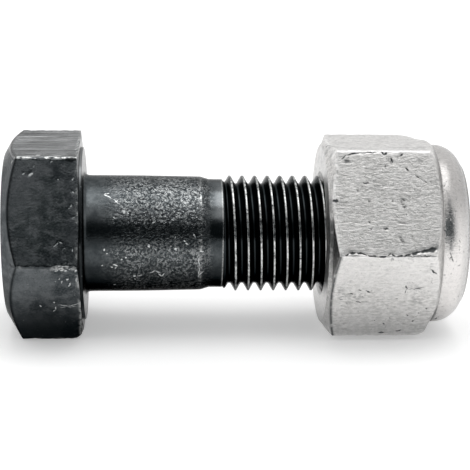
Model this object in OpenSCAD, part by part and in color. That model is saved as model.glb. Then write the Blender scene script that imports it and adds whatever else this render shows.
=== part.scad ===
// Hexagon bolt with a high lock nut.
// The bolt lies along X, from its head at the left to the nut at the right.
// The origin is on the axis, in the plane of the bearing face under the head.

/* [Hexagons] */
// Distance across the flats, the same for the head and the nut so that one spanner fits both
across_flats = 22; // [21.6:0.1:24]

/* [Head] */
// Height of the head, with its washer face
head_h = 9.1; // [8:0.1:10.5]
// How far the edge of the head's flat end lies inside the flats
head_top_inset = 1.4; // [1:0.1:2.2]
// Slope of the chamfer round the end of the head, in degrees
head_slope = 30; // [20:1:35]
// How far the edge of the washer face lies inside the flats
washer_inset = 0.8; // [0.5:0.1:2]
// How far the washer face stands out from the head
washer_h = 0.3; // [0.2:0.05:0.6]
// Height of the bevel on the corners beside the washer face
under_bevel = 0.15; // [0.1:0.05:0.6]
// Turn of the head about the axis, in degrees
head_turn = 2.8; // [-30:0.1:30]

/* [Shank] */
// Diameter of the plain shank
shank_d = 13.8; // [13.4:0.05:14.2]
// Length of the plain shank, from the head to the taper
shank_len = 13.6; // [11:0.1:14.2]
// Length of the taper from the shank down to the neck
taper_len = 1; // [0.8:0.1:1.8]
// Length of the neck between the taper and the thread
neck_len = 1.55; // [0.8:0.05:2]
// Radius of the fillet under the head
root_round = 0.6; // [0.3:0.05:1]
// Length of the bolt, from under the head to its end
bolt_len = 40; // [36:0.5:44]
// Size of the bevel at the end of the bolt
tip_bevel = 1.1; // [0.8:0.1:1.6]

/* [Thread] */
// Diameter over the crests of the bolt's thread
thread_d = 13.8; // [13.4:0.05:14.2]
// Distance from one crest to the next
pitch = 1.5; // [1.25:0.05:1.75]
// Width of the flat on a crest
crest_w = 0.19; // [0.1:0.01:0.25]
// Radial gap between the bolt's thread and the nut's
thread_gap = 0.14; // [0.1:0.01:0.2]
// Where a crest meets the side of the bolt that is turned away, from the head
thread_phase = 16.75; // [16:0.05:18]
// Turns over which the thread grows out of the neck
grow_turns = 0.5; // [0.25:0.25:1.5]
// Steps in one turn of the thread
turn_steps = 36; // [24:2:48]

/* [Nut] */
// Height of the hexagon, from the bearing face to the end of its flats
hex_h = 12.8; // [11.5:0.1:14.5]
// Height of the round collar beyond the hexagon
collar_h = 3.7; // [3.3:0.1:4.2]
// How far the collar lies inside the flats
collar_inset = 0.4; // [0.3:0.05:0.9]
// Radius of the rolled outer edge of the collar
collar_round = 3; // [2:0.1:3.2]
// How far the edge of the bearing face lies inside the flats
seat_inset = 0.5; // [0.3:0.05:1.5]
// Height of the small bevel round the bearing face
seat_bevel = 0.4; // [0.2:0.05:0.6]
// Height of the corners above the bearing face
corner_h = 1; // [0.7:0.05:1.4]
// Length of the slope that takes the corners down to the flats
shoulder_len = 0.9; // [0.6:0.1:3]
// Length of the short step from the flats down to the collar
step_len = 0.3; // [0.2:0.05:0.7]
// Distance from the head to the bearing face of the nut
nut_place = 27.9; // [24:0.1:29.5]
// Turn of the nut's flats about the axis, in degrees
nut_turned = -2.8; // [-30:0.1:30]

/* [Insert] */
// Thickness of the insert's wall, from its bore to its rim
insert_wall = 1.95; // [1.5:0.05:2.2]
// Bevel of the upper edge of the seat and of the insert
insert_bevel = 0.8; // [0.5:0.05:0.9]
// Thickness of the insert
insert_h = 2.6; // [2.2:0.05:2.8]
// Thickness of the rolled lip that closes over the insert
lip_h = 1; // [0.8:0.05:1.2]
// How far the lip reaches in over the insert
lip_reach = 0.9; // [0.6:0.05:1.2]
// Radius of the inner edge of the lip
lip_round = 0.4; // [0.2:0.05:0.5]
// Bevel of the edges of the insert's bore
bore_bevel = 0.3; // [0.1:0.05:0.4]
// Width of the countersink round the thread in the bearing face
countersink_w = 0.35; // [0.1:0.05:0.5]
// Play between the insert and the metal round it
insert_play = 0.05; // [0.03:0.01:0.1]
// Radial gap between the bolt's thread and the insert's bore
insert_gap = 0.1; // [0.06:0.01:0.2]

/* [Hidden] */
$fn = 96;

// A hexagon's corner radius over the radius of its flats
corner_ratio = 1 / cos(30);
// How far a cutting or covering body runs past the face that it trims
over = 1;
// Turns that a thread runs on past the face that trims it
spare_turns = 2;
// How far the thread lies under the neck before it grows out
under_neck = 0.1;
// Sideways run of the countersink for each unit of its depth
countersink_lean = tan(60);
// Steps in a rounded edge, for each quarter turn
round_steps = 6;

flat_r = across_flats / 2;
corner_r = flat_r * corner_ratio;
head_top_r = flat_r - head_top_inset;
washer_r = flat_r - washer_inset;
shank_r = shank_d / 2;

// The thread is a 60 degree thread: each flank leans 30 degrees
flank_lean = tan(30);
thread_depth = 0.6134 * pitch;
crest_r = thread_d / 2;
root_r = crest_r - thread_depth;
tip_r = crest_r - tip_bevel;
root_w = pitch - crest_w - 2 * thread_depth * flank_lean;
// The neck is as thick as the blank that the thread was rolled on
neck_r = crest_r - thread_depth / 2;
thread_start = shank_len + taper_len + neck_len;

nut_h = hex_h + collar_h;
bearing_r = flat_r - seat_inset;
collar_r = flat_r - collar_inset;
edge_round = min(collar_round, collar_h - step_len);
// The insert fits round the bolt's thread, and its seat fits round the insert
insert_bore_r = crest_r + insert_gap;
insert_r = insert_bore_r + insert_wall;
seat_r = insert_r + insert_play;
mouth_r = seat_r - lip_reach;
// The nut's thread is the bolt's, moved out by the gap
nut_crest_r = crest_r + thread_gap;
nut_root_r = root_r + thread_gap;
// The insert's seat lies under the lip
seat_top = nut_h - lip_h;
seat_floor = seat_top - insert_h - 2 * insert_play;

// Points of an arc about [x, y], from one angle to another
function arc(x, y, r, from, to) =
    [for (i = [0 : round_steps])
        let (a = from + (to - from) * i / round_steps)
        [x + r * cos(a), y + r * sin(a)]];

// The last place on the helix, at or before z, where a crest crosses angle 0
function crest_before(z) = thread_phase + pitch * floor((z - thread_phase) / pitch);

// Turns a body that stands on Z so that it lies along X
module lay() {
    rotate([90, 0, 90]) children();
}

// A hexagonal bar from one height to another
module hexagon_bar(z0, z1) {
    translate([0, 0, z0]) cylinder(h = z1 - z0, r = corner_r, $fn = 6);
}

// A threaded bar: one ridge and one groove, wound round the axis and closed at both ends.
// It starts at from_z. After plain_turns turns the thread grows out of radius start_r.
module threaded_bar(from_z, turns, crest, root, start_r = 0, plain_turns = 0, growth = 0) {
    n = turn_steps;
    last = n * turns;
    skipped = round((from_z - crest_before(from_z)) / pitch * n);
    outline = [
        [-crest_w / 2, crest],
        [crest_w / 2, crest],
        [pitch / 2 - root_w / 2, root],
        [pitch / 2 + root_w / 2, root]
    ];
    function share(i) = growth == 0 ? 1 : max(0, min(1, (i - n * plain_turns) / (n * growth)));
    points = concat(
        [for (i = [0 : last], p = outline)
            let (
                turned = (i + skipped) / n,
                r = start_r + (p[1] - start_r) * share(i)
            )
            [r * cos(360 * turned), r * sin(360 * turned), crest_before(from_z) + pitch * turned + p[0]]],
        [[0, 0, from_z - pitch], [0, 0, from_z + pitch * (turns + 1)]]
    );
    low = 4 * (last + 1);
    high = low + 1;
    start_loop = concat([for (i = [0 : n]) 4 * i], [3, 2, 1]);
    end_loop = concat(
        [for (i = [last - n : last]) 4 * i + 3],
        [for (j = [2 : -1 : 0]) 4 * last + j]
    );
    faces = concat(
        [for (i = [0 : last - 1], j = [0 : 2])
            let (a = 4 * i + j)
            each [[a, a + 1, a + 5], [a, a + 5, a + 4]]],
        [for (i = [0 : last - n - 1])
            let (a = 4 * i + 3, b = 4 * (i + n))
            each [[a, b, b + 4], [a, b + 4, a + 4]]],
        [for (k = [0 : len(start_loop) - 1])
            [low, start_loop[k], start_loop[(k + 1) % len(start_loop)]]],
        [for (k = [0 : len(end_loop) - 1])
            [high, end_loop[(k + 1) % len(end_loop)], end_loop[k]]]
    );
    polyhedron(points = points, faces = faces, convexity = 10);
}

// The hexagon of the head with its bevels, and the washer face under it
module head() {
    slope_h = (corner_r - head_top_r) * tan(head_slope);
    intersection() {
        rotate([0, 0, head_turn]) hexagon_bar(-head_h, -washer_h);
        rotate_extrude() polygon([
            [0, -head_h],
            [head_top_r, -head_h],
            [corner_r, -head_h + slope_h],
            [corner_r, -washer_h - under_bevel],
            [flat_r, -washer_h],
            [0, -washer_h]
        ]);
    }
    translate([0, 0, -washer_h - over]) cylinder(h = washer_h + over, r = washer_r);
}

// The plain shank with its fillet, the taper and the neck
module shank() {
    rotate_extrude() polygon(concat(
        [[0, -over], [shank_r + root_round, -over]],
        arc(shank_r + root_round, root_round, root_round, 270, 180),
        [
            [shank_r, shank_len],
            [neck_r, shank_len + taper_len],
            [neck_r, thread_start],
            [0, thread_start]
        ]
    ));
}

// The thread from the neck to the bevelled end
module bolt_thread() {
    from_z = thread_start - pitch;
    turns = ceil((bolt_len - from_z) / pitch) + 1;
    intersection() {
        threaded_bar(from_z, turns, crest_r, root_r, neck_r - under_neck, 1, grow_turns);
        rotate_extrude() polygon([
            [0, from_z - spare_turns * pitch],
            [crest_r + over, from_z - spare_turns * pitch],
            [crest_r + over, bolt_len - tip_bevel - over],
            [tip_r, bolt_len],
            [0, bolt_len]
        ]);
    }
}

// The hexagon, its shoulder and the collar with its rounded edge, before the nut is bored
module nut_blank() {
    intersection() {
        rotate([0, 0, nut_turned]) hexagon_bar(0, nut_h);
        rotate_extrude() polygon(concat(
            [
                [0, 0],
                [bearing_r, 0],
                [flat_r, seat_bevel],
                [corner_r, corner_h],
                [corner_r, hex_h - shoulder_len],
                [flat_r, hex_h],
                [collar_r, hex_h + step_len]
            ],
            arc(collar_r - edge_round, nut_h - edge_round, edge_round, 0, 90),
            [[0, nut_h]]
        ));
    }
}

// The room cut out of the collar for the insert, and the mouth in the lip
module insert_room() {
    rotate_extrude() polygon(concat(
        [
            [0, seat_floor],
            [seat_r, seat_floor],
            [seat_r, seat_top - insert_bevel],
            [seat_r - insert_bevel, seat_top],
            [mouth_r, seat_top]
        ],
        arc(mouth_r + lip_round, nut_h - lip_round, lip_round, 180, 90),
        [[mouth_r + lip_round, nut_h + over], [0, nut_h + over]]
    ));
}

// The countersink where the bolt enters the nut: a cone whose tip lies inside the bore
module countersink() {
    mouth = nut_crest_r + countersink_w;
    rotate_extrude() polygon([
        [0, -over],
        [mouth + over * countersink_lean, -over],
        [0, mouth / countersink_lean]
    ]);
}

module bolt() {
    color("#33383d") lay() {
        head();
        shank();
        bolt_thread();
    }
}

module lock_nut() {
    from_z = nut_place - spare_turns * pitch;
    turns = ceil((nut_place + seat_floor - from_z) / pitch) + 1;
    color("#c9cbcc") lay() difference() {
        translate([0, 0, nut_place]) nut_blank();
        threaded_bar(from_z, turns, nut_crest_r, nut_root_r);
        translate([0, 0, nut_place]) insert_room();
        translate([0, 0, nut_place]) countersink();
    }
}

// The ring that grips the bolt's thread, a little smaller all round than its seat
module nylon_insert() {
    floor_z = seat_floor + insert_play;
    top_z = floor_z + insert_h;
    color("#e8e6de") lay() translate([0, 0, nut_place]) rotate_extrude() polygon([
        [insert_bore_r, floor_z + bore_bevel],
        [insert_bore_r + bore_bevel, floor_z],
        [insert_r, floor_z],
        [insert_r, top_z - insert_bevel],
        [insert_r - insert_bevel, top_z],
        [insert_bore_r + bore_bevel, top_z],
        [insert_bore_r, top_z - bore_bevel]
    ]);
}

bolt();
lock_nut();
nylon_insert();
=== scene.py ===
import math

import bmesh
import bpy
import numpy as np
from mathutils import Matrix, Vector, noise


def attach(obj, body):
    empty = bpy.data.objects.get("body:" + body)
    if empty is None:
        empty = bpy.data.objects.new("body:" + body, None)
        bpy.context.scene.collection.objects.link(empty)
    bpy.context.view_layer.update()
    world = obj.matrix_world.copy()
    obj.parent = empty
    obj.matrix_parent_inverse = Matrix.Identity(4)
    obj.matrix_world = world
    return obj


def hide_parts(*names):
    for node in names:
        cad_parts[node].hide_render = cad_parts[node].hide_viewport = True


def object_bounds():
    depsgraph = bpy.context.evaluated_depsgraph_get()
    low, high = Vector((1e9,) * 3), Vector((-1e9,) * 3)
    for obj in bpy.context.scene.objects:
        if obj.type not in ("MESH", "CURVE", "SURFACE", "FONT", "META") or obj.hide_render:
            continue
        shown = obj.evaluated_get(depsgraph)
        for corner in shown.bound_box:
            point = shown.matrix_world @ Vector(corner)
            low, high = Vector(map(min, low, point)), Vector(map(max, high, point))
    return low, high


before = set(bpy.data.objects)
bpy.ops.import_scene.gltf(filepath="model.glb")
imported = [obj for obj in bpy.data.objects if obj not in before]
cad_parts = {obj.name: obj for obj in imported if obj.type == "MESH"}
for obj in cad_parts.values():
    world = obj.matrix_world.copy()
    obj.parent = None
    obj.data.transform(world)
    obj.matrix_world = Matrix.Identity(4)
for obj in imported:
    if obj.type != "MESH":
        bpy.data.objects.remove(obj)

cad_box = [list(v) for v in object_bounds()]

# Every length below is in millimetres, and a place along X is measured from the bearing face under
# the head. An angle round the bolt is in degrees: 0 points away from the camera and 90 straight up.
MM = 0.001
APOTHEM = 11.0
CORNER = APOTHEM / math.cos(math.radians(30))
# A radius past every corner, to which outlines reach before they are cut to the hexagon
BEYOND = 13.2
CENTRE_R = 0.4
# Points closer than this are joined
WELD = 0.001
# Degrees between the points of a rounded corner
ARC_STEP = 14

HEAD_TURN = 2.8
HEAD_END = -9.1
HEAD_END_R = 9.6
HEAD_INNER_R = 9.0
HEAD_SLOPE = math.tan(math.radians(30))
HEAD_CORNER_ROUND = 0.3
HEAD_CHAMFER_ROUND = 0.16
# How far the head leans out of square, for each millimetre up
HEAD_LEAN = 0.015
# How worn each corner is, from the first one round
HEAD_WEAR = (0.6, 0.5, 1.0, 0.35, 0.4, 0.6)
UNDERSIDE = -0.3
UNDER_SLOPE = 0.15 / (CORNER - APOTHEM)
WASHER_R = 10.2

SHANK_R = 6.9
SHANK_MIDDLE = 7.0
SHANK_END_R = 6.74
SHANK_END = 13.6
TAPER_END = 14.6
NECK_R = 6.44
CORE_R = 6.2
FILLET = 0.6

PITCH = 1.5
CREST_R = 6.86
CREST_W = 0.17
ROOT_ROUND = 0.22
FLANK_LEAN = math.tan(math.radians(30))
THREAD_START = 16.15
THREAD_PHASE = 16.75
THREAD_GAP = 0.16
TURN_STEPS = 72
SINK_R = 7.39
SINK_DEPTH = 0.8
SINK_SLOPE = math.tan(math.radians(60))
BOLT_END = 40.0
TIP_R = 5.8
TIP_SPAN = 1.7

NUT_TURN = -2.8
NUT_X = 27.9
NUT_INNER_R = 9.5
NUT_CORNER_ROUND = 0.35
NUT_CHAMFER_ROUND = 0.3
NUT_WEAR = (0.6, 0.6, 1.0, 0.2, 0.6, 0.6)
CHAMFER_H = 0.4
CORNER_CHAMFER_H = 1.0
CHAMFER_SLOPE = (CORNER_CHAMFER_H - CHAMFER_H) / (CORNER - APOTHEM)
HEX_H = 12.8
SHOULDER_SLOPE = 0.9 / (CORNER - APOTHEM)
NUT_END = NUT_X + 16.5
BEARING_R = 10.5
COLLAR_X = NUT_X + HEX_H + 0.3
COLLAR_R = 10.6
COLLAR_ROUND = 3.0
SEAT_R = 9.0
SEAT_BEVEL = 0.8
MOUTH_R = 8.1
LIP_H = 1.0
RING_H = 2.6
RING_R = 8.95
RING_BEVEL = 0.8
RING_BORE_R = 7.0
RING_COLUMNS = 128
SEAT_FLOOR = NUT_END - LIP_H - RING_H - 0.1

# How deep a mark goes, and how far its outline sways
MARK_DEPTH = 0.4
SWAY = 0.35
# How many marks a material works out side by side, and a distance at which none shows
BATCH = 16
OUT_OF_REACH = 1000.0

# The flats that the photograph shows, by the angle of their middle
HEAD_TOP, HEAD_FRONT, HEAD_LOW = 92.8, 152.8, 212.8
NUT_TOP, NUT_FRONT, NUT_LOW = 87.2, 147.2, 207.2


# Camera

ELEVATION = math.radians(14.9)
DISTANCE = 186.75
FOOT = 7.66
YAW = 0.0541
TILT = -0.0013
FOCAL = 1569.0
FRAME = 470


def camera_axes():
    """Right, up and forward of the camera."""
    forward = Vector((0, math.cos(ELEVATION), -math.sin(ELEVATION)))
    right = Vector((1, 0, 0))
    up = right.cross(forward)
    ahead = forward * math.cos(YAW) + right * math.sin(YAW)
    side = right * math.cos(YAW) - forward * math.sin(YAW)
    look = ahead * math.cos(TILT) + up * math.sin(TILT)
    over = up * math.cos(TILT) - ahead * math.sin(TILT)
    return side, over, look


EYE = Vector((FOOT, -DISTANCE * math.cos(ELEVATION), DISTANCE * math.sin(ELEVATION)))
SIDE, OVER, LOOK = camera_axes()


def make_camera():
    data = bpy.data.cameras.new("camera")
    data.sensor_width = 36
    data.lens = FOCAL / FRAME * data.sensor_width
    data.clip_start = 0.01
    camera = bpy.data.objects.new("camera", data)
    bpy.context.scene.collection.objects.link(camera)
    bpy.context.scene.camera = camera
    camera.location = EYE * MM
    camera.rotation_euler = Matrix((SIDE, OVER, -LOOK)).transposed().to_euler()


def ray(pixel):
    """Direction from the camera through a pixel of the photograph."""
    half = FRAME / 2
    return LOOK * FOCAL + SIDE * (pixel[0] - half) - OVER * (pixel[1] - half)


def on_flat(pixel, middle):
    """The point of a flat, given by the angle of its middle, that a pixel shows."""
    angle = math.radians(middle)
    normal = Vector((0, math.cos(angle), math.sin(angle)))
    d = ray(pixel)
    return EYE + d * ((APOTHEM - EYE.dot(normal)) / d.dot(normal))


def on_round(pixel, radius):
    """The near point of a cylinder about the axis that a pixel shows."""
    d = ray(pixel)
    a = d.y**2 + d.z**2
    b = EYE.y * d.y + EYE.z * d.z
    c = EYE.y**2 + EYE.z**2 - radius**2
    reach = (-b - math.sqrt(max(b * b - a * c, 0))) / a
    return EYE + d * reach


# Marks, placed by the pixels of the photograph where they begin and end: x and y of the first, x and
# y of the last, then the half widths there in millimetres, given once where they are the same

HEAD_NICKS = [
    (28.6, 175.6, 32.6, 172.4, 0.10, 0.13),
    (51.7, 161.6, 51.9, 162.0, 0.11),
    (33.6, 167.2, 34.0, 167.4, 0.07),
    (22.0, 174.6, 25.0, 172.8, 0.05),
    (58.4, 179.4, 58.6, 180.2, 0.06),
    (73.0, 178.8, 73.0, 180.0, 0.09),
    (73.0, 191.4, 74.0, 193.2, 0.09, 0.06),
    (71.2, 206.4, 71.8, 204.8, 0.08),
    (67.6, 209.2, 69.4, 208.8, 0.05),
    (72.6, 217.6, 74.6, 217.0, 0.07),
    (53.6, 247.6, 58.6, 242.4, 0.04, 0.06),
    (59.5, 241.6, 62.0, 243.6, 0.05, 0.04),
    (62.6, 250.8, 65.6, 248.0, 0.04),
    (71.6, 248.0, 72.8, 251.6, 0.05),
]
LOW_NICKS = [
    (68.3, 286.8, 70.6, 283.2, 0.09, 0.06),
    (61.6, 283.4, 62.4, 281.4, 0.08, 0.06),
    (66.6, 281.0, 68.2, 279.2, 0.06),
    (58.8, 279.6, 60.2, 278.6, 0.05),
    (75.8, 282.4, 76.6, 278.0, 0.06, 0.05),
    (55.2, 271.4, 57.4, 270.2, 0.07, 0.05),
    (60.6, 270.8, 62.8, 270.4, 0.09, 0.07),
    (65.0, 271.6, 66.0, 270.6, 0.08, 0.06),
    (69.0, 269.6, 71.6, 268.6, 0.09, 0.06),
    (74.6, 272.2, 76.4, 270.4, 0.11, 0.09),
    (40.6, 305.6, 41.2, 307.0, 0.07),
    (53.4, 302.2, 54.0, 302.6, 0.07),
    (55.6, 309.4, 56.4, 306.8, 0.06),
    (53.2, 311.6, 55.4, 310.0, 0.04, 0.06),
    (58.0, 305.4, 70.0, 305.6, 0.03, 0.04),
    (70.0, 305.6, 80.0, 303.6, 0.04),
    (60.0, 307.4, 77.0, 306.6, 0.03),
]
TOP_NICKS = [
    (75.4, 152.6, 79.6, 149.6, 0.05),
    (75.0, 149.8, 79.4, 146.8, 0.05),
    (75.2, 147.0, 79.6, 144.2, 0.05),
    (76.0, 144.4, 79.6, 141.8, 0.05),
    (76.6, 141.6, 79.6, 139.4, 0.05),
    (16.0, 139.6, 44.0, 139.9, 0.04, 0.05),
    (44.0, 139.9, 72.0, 140.2, 0.05, 0.04),
    (15.0, 136.6, 50.0, 136.2, 0.04, 0.05),
    (13.4, 156.6, 24.0, 156.4, 0.10, 0.06),
    (24.0, 156.4, 36.0, 155.6, 0.06, 0.07),
    (36.0, 155.4, 39.6, 155.0, 0.14),
    (46.6, 156.6, 62.0, 155.4, 0.12),
]
EDGE_NICKS = [
    (55.6, 264.2, 58.6, 263.2, 0.10, 0.08),
    (61.0, 266.0, 63.6, 264.6, 0.09, 0.06),
    (70.0, 265.8, 72.0, 263.6, 0.08),
    (74.6, 266.2, 77.2, 264.8, 0.08, 0.10),
]
TOP_LINES = [
    (15.0, 139.6, 31.0, 137.8, 0.07, 0.10),
    (31.0, 137.8, 56.0, 137.4, 0.10, 0.12),
    (56.0, 137.4, 72.0, 138.2, 0.12, 0.09),
    (30.0, 131.6, 62.0, 131.2, 0.05, 0.10),
    (60.0, 131.0, 72.0, 131.2, 0.10),
    (16.0, 154.8, 36.0, 153.8, 0.05, 0.08),
    (40.0, 153.6, 63.0, 153.2, 0.08, 0.05),
    (68.0, 153.6, 75.6, 156.0, 0.30, 0.50),
    (16.0, 141.4, 60.0, 141.6, 0.04, 0.05),
]
EDGE_FACET = [(66.0, 160.0, 76.0, 159.2, 0.14, 0.34)]
SHANK_NICKS = [
    (103.2, 194.2, 112.0, 198.6, 0.05, 0.04),
    (112.0, 198.6, 120.0, 204.6, 0.04, 0.05),
    (104.0, 194.2, 108.6, 193.6, 0.06, 0.05),
    (114.6, 202.6, 117.6, 200.4, 0.05),
    (123.0, 210.6, 124.4, 212.8, 0.13, 0.11),
    (114.0, 217.2, 114.4, 218.2, 0.09),
    (114.2, 222.6, 114.4, 223.2, 0.07),
    (127.0, 213.0, 129.6, 210.2, 0.05),
    (152.6, 223.0, 156.0, 220.0, 0.06, 0.08),
    (171.0, 219.4, 174.0, 219.8, 0.08, 0.06),
    (196.4, 216.4, 197.0, 216.8, 0.09),
    (200.6, 193.8, 201.2, 197.8, 0.10),
    (110.6, 266.8, 112.6, 267.6, 0.09, 0.06),
    (113.0, 264.6, 117.6, 265.8, 0.05, 0.10),
    (114.8, 268.4, 116.4, 267.2, 0.06),
    (121.2, 260.6, 122.4, 259.4, 0.10, 0.08),
    (125.6, 257.8, 126.8, 257.0, 0.07),
    (103.8, 250.6, 104.6, 249.0, 0.08, 0.06),
    (106.4, 254.2, 107.0, 254.0, 0.07),
    (101.2, 265.6, 103.2, 264.8, 0.08, 0.05),
    (148.0, 245.4, 149.0, 247.6, 0.13, 0.10),
    (155.0, 249.0, 156.2, 250.6, 0.09, 0.07),
    (175.0, 248.6, 176.4, 250.0, 0.12, 0.10),
    (173.4, 240.0, 176.0, 236.2, 0.06, 0.05),
    (183.0, 240.4, 188.0, 244.4, 0.05, 0.08),
    (193.4, 233.6, 196.0, 238.6, 0.08, 0.05),
    (200.0, 251.6, 203.4, 251.4, 0.07, 0.09),
    (150.0, 272.6, 155.0, 270.8, 0.04, 0.06),
    (155.0, 270.8, 161.0, 273.0, 0.06),
    (158.2, 273.6, 161.0, 276.6, 0.06),
    (161.0, 276.6, 164.0, 273.6, 0.06),
    (134.0, 275.8, 135.2, 276.2, 0.10),
    (135.0, 279.0, 135.4, 279.2, 0.08),
    (137.0, 276.0, 142.0, 275.4, 0.05),
    (114.0, 284.6, 116.0, 284.2, 0.07),
    (144.4, 287.0, 144.8, 287.2, 0.07),
    (210.2, 230.2, 210.8, 230.6, 0.09),
    (218.6, 231.4, 219.0, 231.6, 0.07),
    (198.6, 259.0, 199.4, 268.0, 0.06, 0.05),
    (199.4, 268.0, 198.6, 278.0, 0.05, 0.06),
    (199.0, 276.0, 203.6, 271.6, 0.04, 0.05),
]
SHANK_DASHES = [
    (167.0, 194.6, 171.0, 196.6, 0.05, 0.08),
    (171.0, 196.6, 183.0, 194.4, 0.08, 0.06),
    (133.0, 199.6, 147.0, 199.0, 0.04, 0.07),
    (168.0, 206.2, 176.0, 205.4, 0.06),
    (105.0, 194.8, 108.6, 194.6, 0.07),
    (109.6, 202.0, 116.0, 204.6, 0.04),
    (200.2, 194.0, 200.2, 197.4, 0.05),
]
NUT_NICKS = [
    (363.6, 182.8, 369.2, 182.3, 0.08, 0.10),
    (383.2, 229.4, 387.8, 228.0, 0.06, 0.09),
    (370.4, 229.6, 372.4, 229.0, 0.07, 0.05),
    (368.8, 221.8, 369.6, 222.8, 0.09, 0.07),
    (381.6, 151.8, 384.2, 154.4, 0.06, 0.14),
    (384.2, 154.4, 386.4, 153.2, 0.14, 0.06),
    (400.0, 155.8, 402.4, 154.0, 0.12, 0.06),
    (390.4, 157.6, 393.4, 163.0, 0.08, 0.06),
    (405.0, 167.6, 408.6, 171.2, 0.08, 0.06),
    (415.6, 175.0, 420.0, 178.2, 0.08, 0.05),
    (420.0, 178.2, 428.0, 183.6, 0.05, 0.03),
    (398.6, 223.2, 409.6, 223.6, 0.03, 0.05),
    (341.0, 159.2, 346.8, 155.2, 0.07, 0.06),
    (346.8, 155.2, 360.0, 152.6, 0.06),
    (360.0, 152.6, 378.4, 151.8, 0.06, 0.07),
    (402.4, 199.4, 405.0, 200.6, 0.08, 0.05),
]
FOLD = [
    (345.0, 255.4, 350.0, 253.6, 0.03, 0.10),
    (350.0, 253.6, 356.0, 253.0, 0.10, 0.12),
    (356.0, 253.0, 368.0, 255.4, 0.12, 0.06),
    (368.0, 255.4, 379.4, 257.0, 0.06, 0.10),
    (379.4, 257.0, 388.0, 256.6, 0.10),
    (388.0, 256.6, 391.0, 254.0, 0.10, 0.06),
    (391.0, 254.0, 396.0, 256.6, 0.06, 0.12),
    (396.0, 256.6, 404.0, 256.0, 0.12, 0.06),
    (404.0, 256.0, 412.0, 254.0, 0.06, 0.10),
    (412.0, 254.0, 421.0, 251.8, 0.10, 0.20),
    (421.0, 251.8, 430.0, 250.2, 0.16, 0.24),
    (428.0, 250.8, 436.6, 248.6, 0.24, 0.32),
    (404.0, 257.0, 437.6, 256.2, 0.05, 0.06),
]
SPOTS = [
    (357.4, 190.0, 358.6, 192.0, 0.16, 0.20),
    (392.2, 200.6, 393.2, 201.4, 0.18, 0.14),
    (403.0, 203.0, 405.4, 208.0, 0.30, 0.18),
    (368.8, 200.6, 370.0, 201.6, 0.14),
    (385.2, 165.6, 386.2, 166.4, 0.22, 0.16),
    (388.6, 158.6, 391.6, 163.6, 0.24, 0.16),
    (344.6, 160.6, 350.0, 161.6, 0.18, 0.22),
    (399.0, 235.6, 403.6, 243.0, 0.16, 0.22),
]
NUT_TOP_LINES = [
    (319.0, 142.4, 339.0, 147.8, 0.05, 0.08),
    (339.0, 147.8, 372.0, 148.0, 0.07, 0.05),
    (388.0, 148.0, 428.0, 147.2, 0.06, 0.08),
    (352.0, 140.4, 362.0, 141.2, 0.04, 0.05),
    (372.0, 144.0, 380.0, 144.6, 0.05, 0.04),
    (341.0, 137.8, 347.0, 138.4, 0.04),
]
LOW_DASHES = [
    (347.0, 294.4, 353.0, 293.8, 0.06, 0.08),
    (358.4, 289.8, 362.0, 290.6, 0.07, 0.05),
    (366.0, 291.0, 371.0, 292.6, 0.06),
    (405.8, 285.4, 406.6, 289.6, 0.05, 0.06),
    (406.6, 289.6, 405.0, 293.6, 0.06, 0.04),
    (406.6, 290.0, 425.0, 287.4, 0.03, 0.05),
    (406.4, 315.0, 407.2, 315.6, 0.08),
    (383.0, 323.6, 383.8, 324.2, 0.08, 0.06),
    (374.4, 320.4, 375.0, 320.8, 0.07),
    (425.6, 308.6, 426.4, 309.2, 0.09),
    (418.0, 313.4, 418.6, 313.8, 0.07),
    (412.0, 321.0, 413.0, 321.4, 0.08, 0.06),
    (389.0, 318.0, 389.8, 318.4, 0.06),
    (430.4, 269.6, 436.4, 274.4, 0.05, 0.12),
    (356.0, 301.4, 361.0, 302.6, 0.05),
    (395.0, 331.0, 401.0, 330.4, 0.08, 0.06),
    (378.0, 332.6, 384.0, 332.8, 0.07),
]
COLLAR_NICKS = [
    (442.0, 225.4, 445.4, 231.4, 0.08),
    (459.2, 239.4, 463.0, 245.8, 0.07, 0.12),
    (450.6, 252.6, 451.6, 257.0, 0.04, 0.05),
    (451.6, 257.0, 449.8, 260.4, 0.05, 0.04),
    (451.6, 257.0, 453.2, 261.6, 0.05, 0.07),
    (437.0, 318.0, 433.0, 320.0, 0.12, 0.16),
]
# a dark streak on the collar, a painted reflection
COLLAR_DARK_REFLECTION = [
    (449.0, 198.0, 450.6, 222.0, 0.12, 0.20),
    (450.6, 222.0, 451.6, 240.0, 0.26, 0.30),
    (451.6, 240.0, 450.6, 251.0, 0.24, 0.12),
]
CHAMFER_NICK = [(333.6, 201.2, 338.0, 200.4, 0.14, 0.20)]
CREST_DOTS = [(312.2, 213.6, 312.4, 215.6, 0.16, 0.12), (327.6, 214.4, 328.2, 215.8, 0.16, 0.12)]


def placed(marks, place, surface):
    """The marks with their ends on the surface: (start, end, first width, last width)."""
    return [(place(m[:2], surface), place(m[2:4], surface), m[4], m[-1]) for m in marks]


# Shapes

def smooth_min(a, b, k):
    h = np.clip(k - np.abs(a - b), 0, None) / k
    return np.minimum(a, b) - h * h * k / 4


def smooth_step(x, low, high):
    t = np.clip((x - low) / (high - low), 0, 1)
    return t * t * (3 - 2 * t)


def bell(x, width):
    """1 at 0, falling off over the width."""
    return np.exp(-((x / width) ** 2))


def value_noise(grid, scale, seed):
    """Noise from -1 to 1 at each point of a grid."""
    shift = Vector((seed * 7.31, seed * 3.17, seed * 5.53))
    values = [noise.noise(Vector(p) * scale + shift) for p in grid.reshape(-1, 3)]
    return np.array(values).reshape(grid.shape[:-1])


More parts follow.
